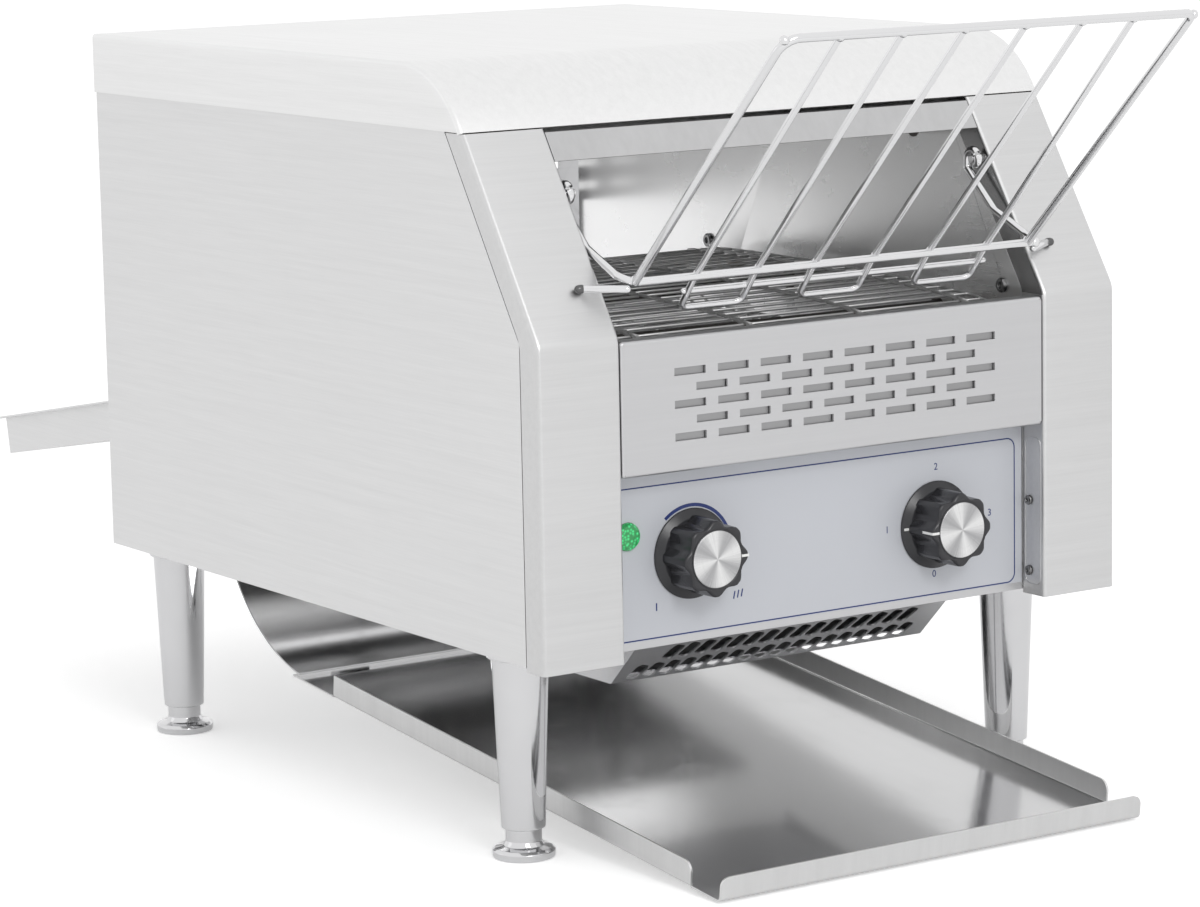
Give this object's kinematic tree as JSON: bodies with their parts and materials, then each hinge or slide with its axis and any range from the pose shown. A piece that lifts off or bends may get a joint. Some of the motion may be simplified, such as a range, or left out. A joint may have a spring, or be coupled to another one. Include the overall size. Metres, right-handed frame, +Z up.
{
  "type": "conveyor toaster",
  "caption": "Counter-top conveyor toaster with a folded steel cabinet, hinged wire loading rack, wire belt, curved slide, pull-out tray, two knobs and levelling feet.",
  "frame": {"origin": "on the floor, under the middle of the whole object's box", "axes": "+X to the right seen from the front, -Y out of the front (the loading side), +Z up"},
  "size_m": [0.368, 0.7628, 0.4227],
  "materials": {
    "brushed_sheet": "brushed stainless sheet",
    "polished_sheet": "smooth bright stainless sheet",
    "inner_sheet": "plain mill-finish sheet",
    "overlay": "pale grey-blue printed film with a thin navy line",
    "leg_chrome": "bright chromed tube",
    "rack_wire": "bright welded wire",
    "tip_metal": "small bright end caps",
    "stud_steel": "turned steel",
    "belt_wire": "drawn steel wire",
    "shaft_steel": "ground steel bar",
    "wheel_steel": "pressed steel",
    "chain_steel": "oiled steel chain",
    "bush_brass": "sintered bronze",
    "motor_paint": "dark grey enamel",
    "heater_tube": "heat-tinted steel tube",
    "knob_plastic": "black moulded plastic with a white index line",
    "knob_cap": "spun aluminium disc",
    "control_plastic": "pale moulded plastic",
    "lamp_body": "dark moulded plastic",
    "lamp_lens": "clear green plastic",
    "gland_plastic": "black nylon",
    "screw_steel": "zinc-plated pan head"
  },
  "bodies": {
    "cabinet": {"top_cover": "brushed_sheet", "left_side_panel": "brushed_sheet", "right_side_panel": "brushed_sheet", "rear_panel": "brushed_sheet", "left_front_pillar": "brushed_sheet", "right_front_pillar": "brushed_sheet", "header_strip": "brushed_sheet", "left_chassis_plate": "polished_sheet", "right_chassis_plate": "polished_sheet", "left_base_plate": "inner_sheet", "right_base_plate": "inner_sheet", "vent_panel": "brushed_sheet", "vent_liner": "inner_sheet", "control_panel": "brushed_sheet", "control_overlay": "overlay", "control_box": "inner_sheet", "lower_guard": "inner_sheet", "discharge_slide": "polished_sheet", "rear_chute": "brushed_sheet", "front_left_leg": "leg_chrome", "front_right_leg": "leg_chrome", "rear_left_leg": "leg_chrome", "rear_right_leg": "leg_chrome", "rack_studs": "stud_steel", "conveyor_belt": "belt_wire", "shaft_bushes": "bush_brass", "drive_chain": "chain_steel", "gear_motor": "motor_paint", "upper_heaters": "heater_tube", "lower_heaters": "heater_tube", "upper_reflector": "polished_sheet", "speed_controller": "control_plastic", "selector_switch": "control_plastic", "pilot_lamp": "lamp_body", "pilot_lens": "lamp_lens", "terminal_block": "control_plastic", "inlet_gland": "gland_plastic", "panel_screws": "screw_steel", "cabinet_screws": "screw_steel", "wall_bolts": "screw_steel"},
    "rack": {"loading_rack": "rack_wire", "rack_tips": "tip_metal"},
    "tray": {"receiving_tray": "polished_sheet"},
    "drive_roller": {"front_shaft": "shaft_steel", "front_belt_wheels": "wheel_steel", "shaft_sprocket": "wheel_steel"},
    "idler_roller": {"rear_shaft": "shaft_steel", "rear_belt_wheels": "wheel_steel"},
    "motor_output": {"motor_shaft": "shaft_steel", "motor_sprocket": "wheel_steel"},
    "speed_control": {"speed_knob": "knob_plastic", "speed_knob_cap": "knob_cap", "speed_knob_shaft": "shaft_steel"},
    "selector_control": {"selector_knob": "knob_plastic", "selector_knob_cap": "knob_cap", "selector_knob_shaft": "shaft_steel"},
    "front_left_levelling_foot": {"front_left_foot": "leg_chrome"},
    "front_right_levelling_foot": {"front_right_foot": "leg_chrome"},
    "rear_left_levelling_foot": {"rear_left_foot": "leg_chrome"},
    "rear_right_levelling_foot": {"rear_right_foot": "leg_chrome"}
  },
  "joints": [
    {"name": "rack_swing", "type": "hinge", "parent": "cabinet", "child": "rack", "pos_m": [0, -0.20384, 0.3365], "axis": [-1, 0, 0], "range_deg": [0, 40]},
    {"name": "tray_pull", "type": "slide", "parent": "cabinet", "child": "tray", "axis": [0, -1, 0], "range_m": [0, 0.12]},
    {"name": "drive_roller_spin", "type": "hinge", "parent": "cabinet", "child": "drive_roller", "pos_m": [0, -0.22334, 0.2484], "axis": [-1, 0, 0], "continuous": true},
    {"name": "idler_roller_spin", "type": "hinge", "parent": "cabinet", "child": "idler_roller", "pos_m": [0, 0.02166, 0.25439], "axis": [-1, 0, 0], "continuous": true},
    {"name": "motor_spin", "type": "hinge", "parent": "cabinet", "child": "motor_output", "pos_m": [0, -0.10434, 0.165], "axis": [-1, 0, 0], "continuous": true},
    {"name": "speed_turn", "type": "hinge", "parent": "cabinet", "child": "speed_control", "pos_m": [-0.0815, -0.25434, 0.1535], "axis": [0, 1, 0], "range_deg": [0, 280]},
    {"name": "selector_turn", "type": "hinge", "parent": "cabinet", "child": "selector_control", "pos_m": [0.075, -0.25434, 0.15], "axis": [0, 1, 0], "range_deg": [-90, 180]},
    {"name": "front_left_foot_level", "type": "slide", "parent": "cabinet", "child": "front_left_levelling_foot", "axis": [0, 0, -1], "range_m": [0, 0.012]},
    {"name": "front_right_foot_level", "type": "slide", "parent": "cabinet", "child": "front_right_levelling_foot", "axis": [0, 0, -1], "range_m": [0, 0.012]},
    {"name": "rear_left_foot_level", "type": "slide", "parent": "cabinet", "child": "rear_left_levelling_foot", "axis": [0, 0, -1], "range_m": [0, 0.012]},
    {"name": "rear_right_foot_level", "type": "slide", "parent": "cabinet", "child": "rear_right_levelling_foot", "axis": [0, 0, -1], "range_m": [0, 0.012]}
  ],
  "couplings": [
    {"joint": "idler_roller_spin", "follows": "drive_roller_spin", "ratio": 1},
    {"joint": "motor_spin", "follows": "drive_roller_spin", "ratio": 1}
  ]
}
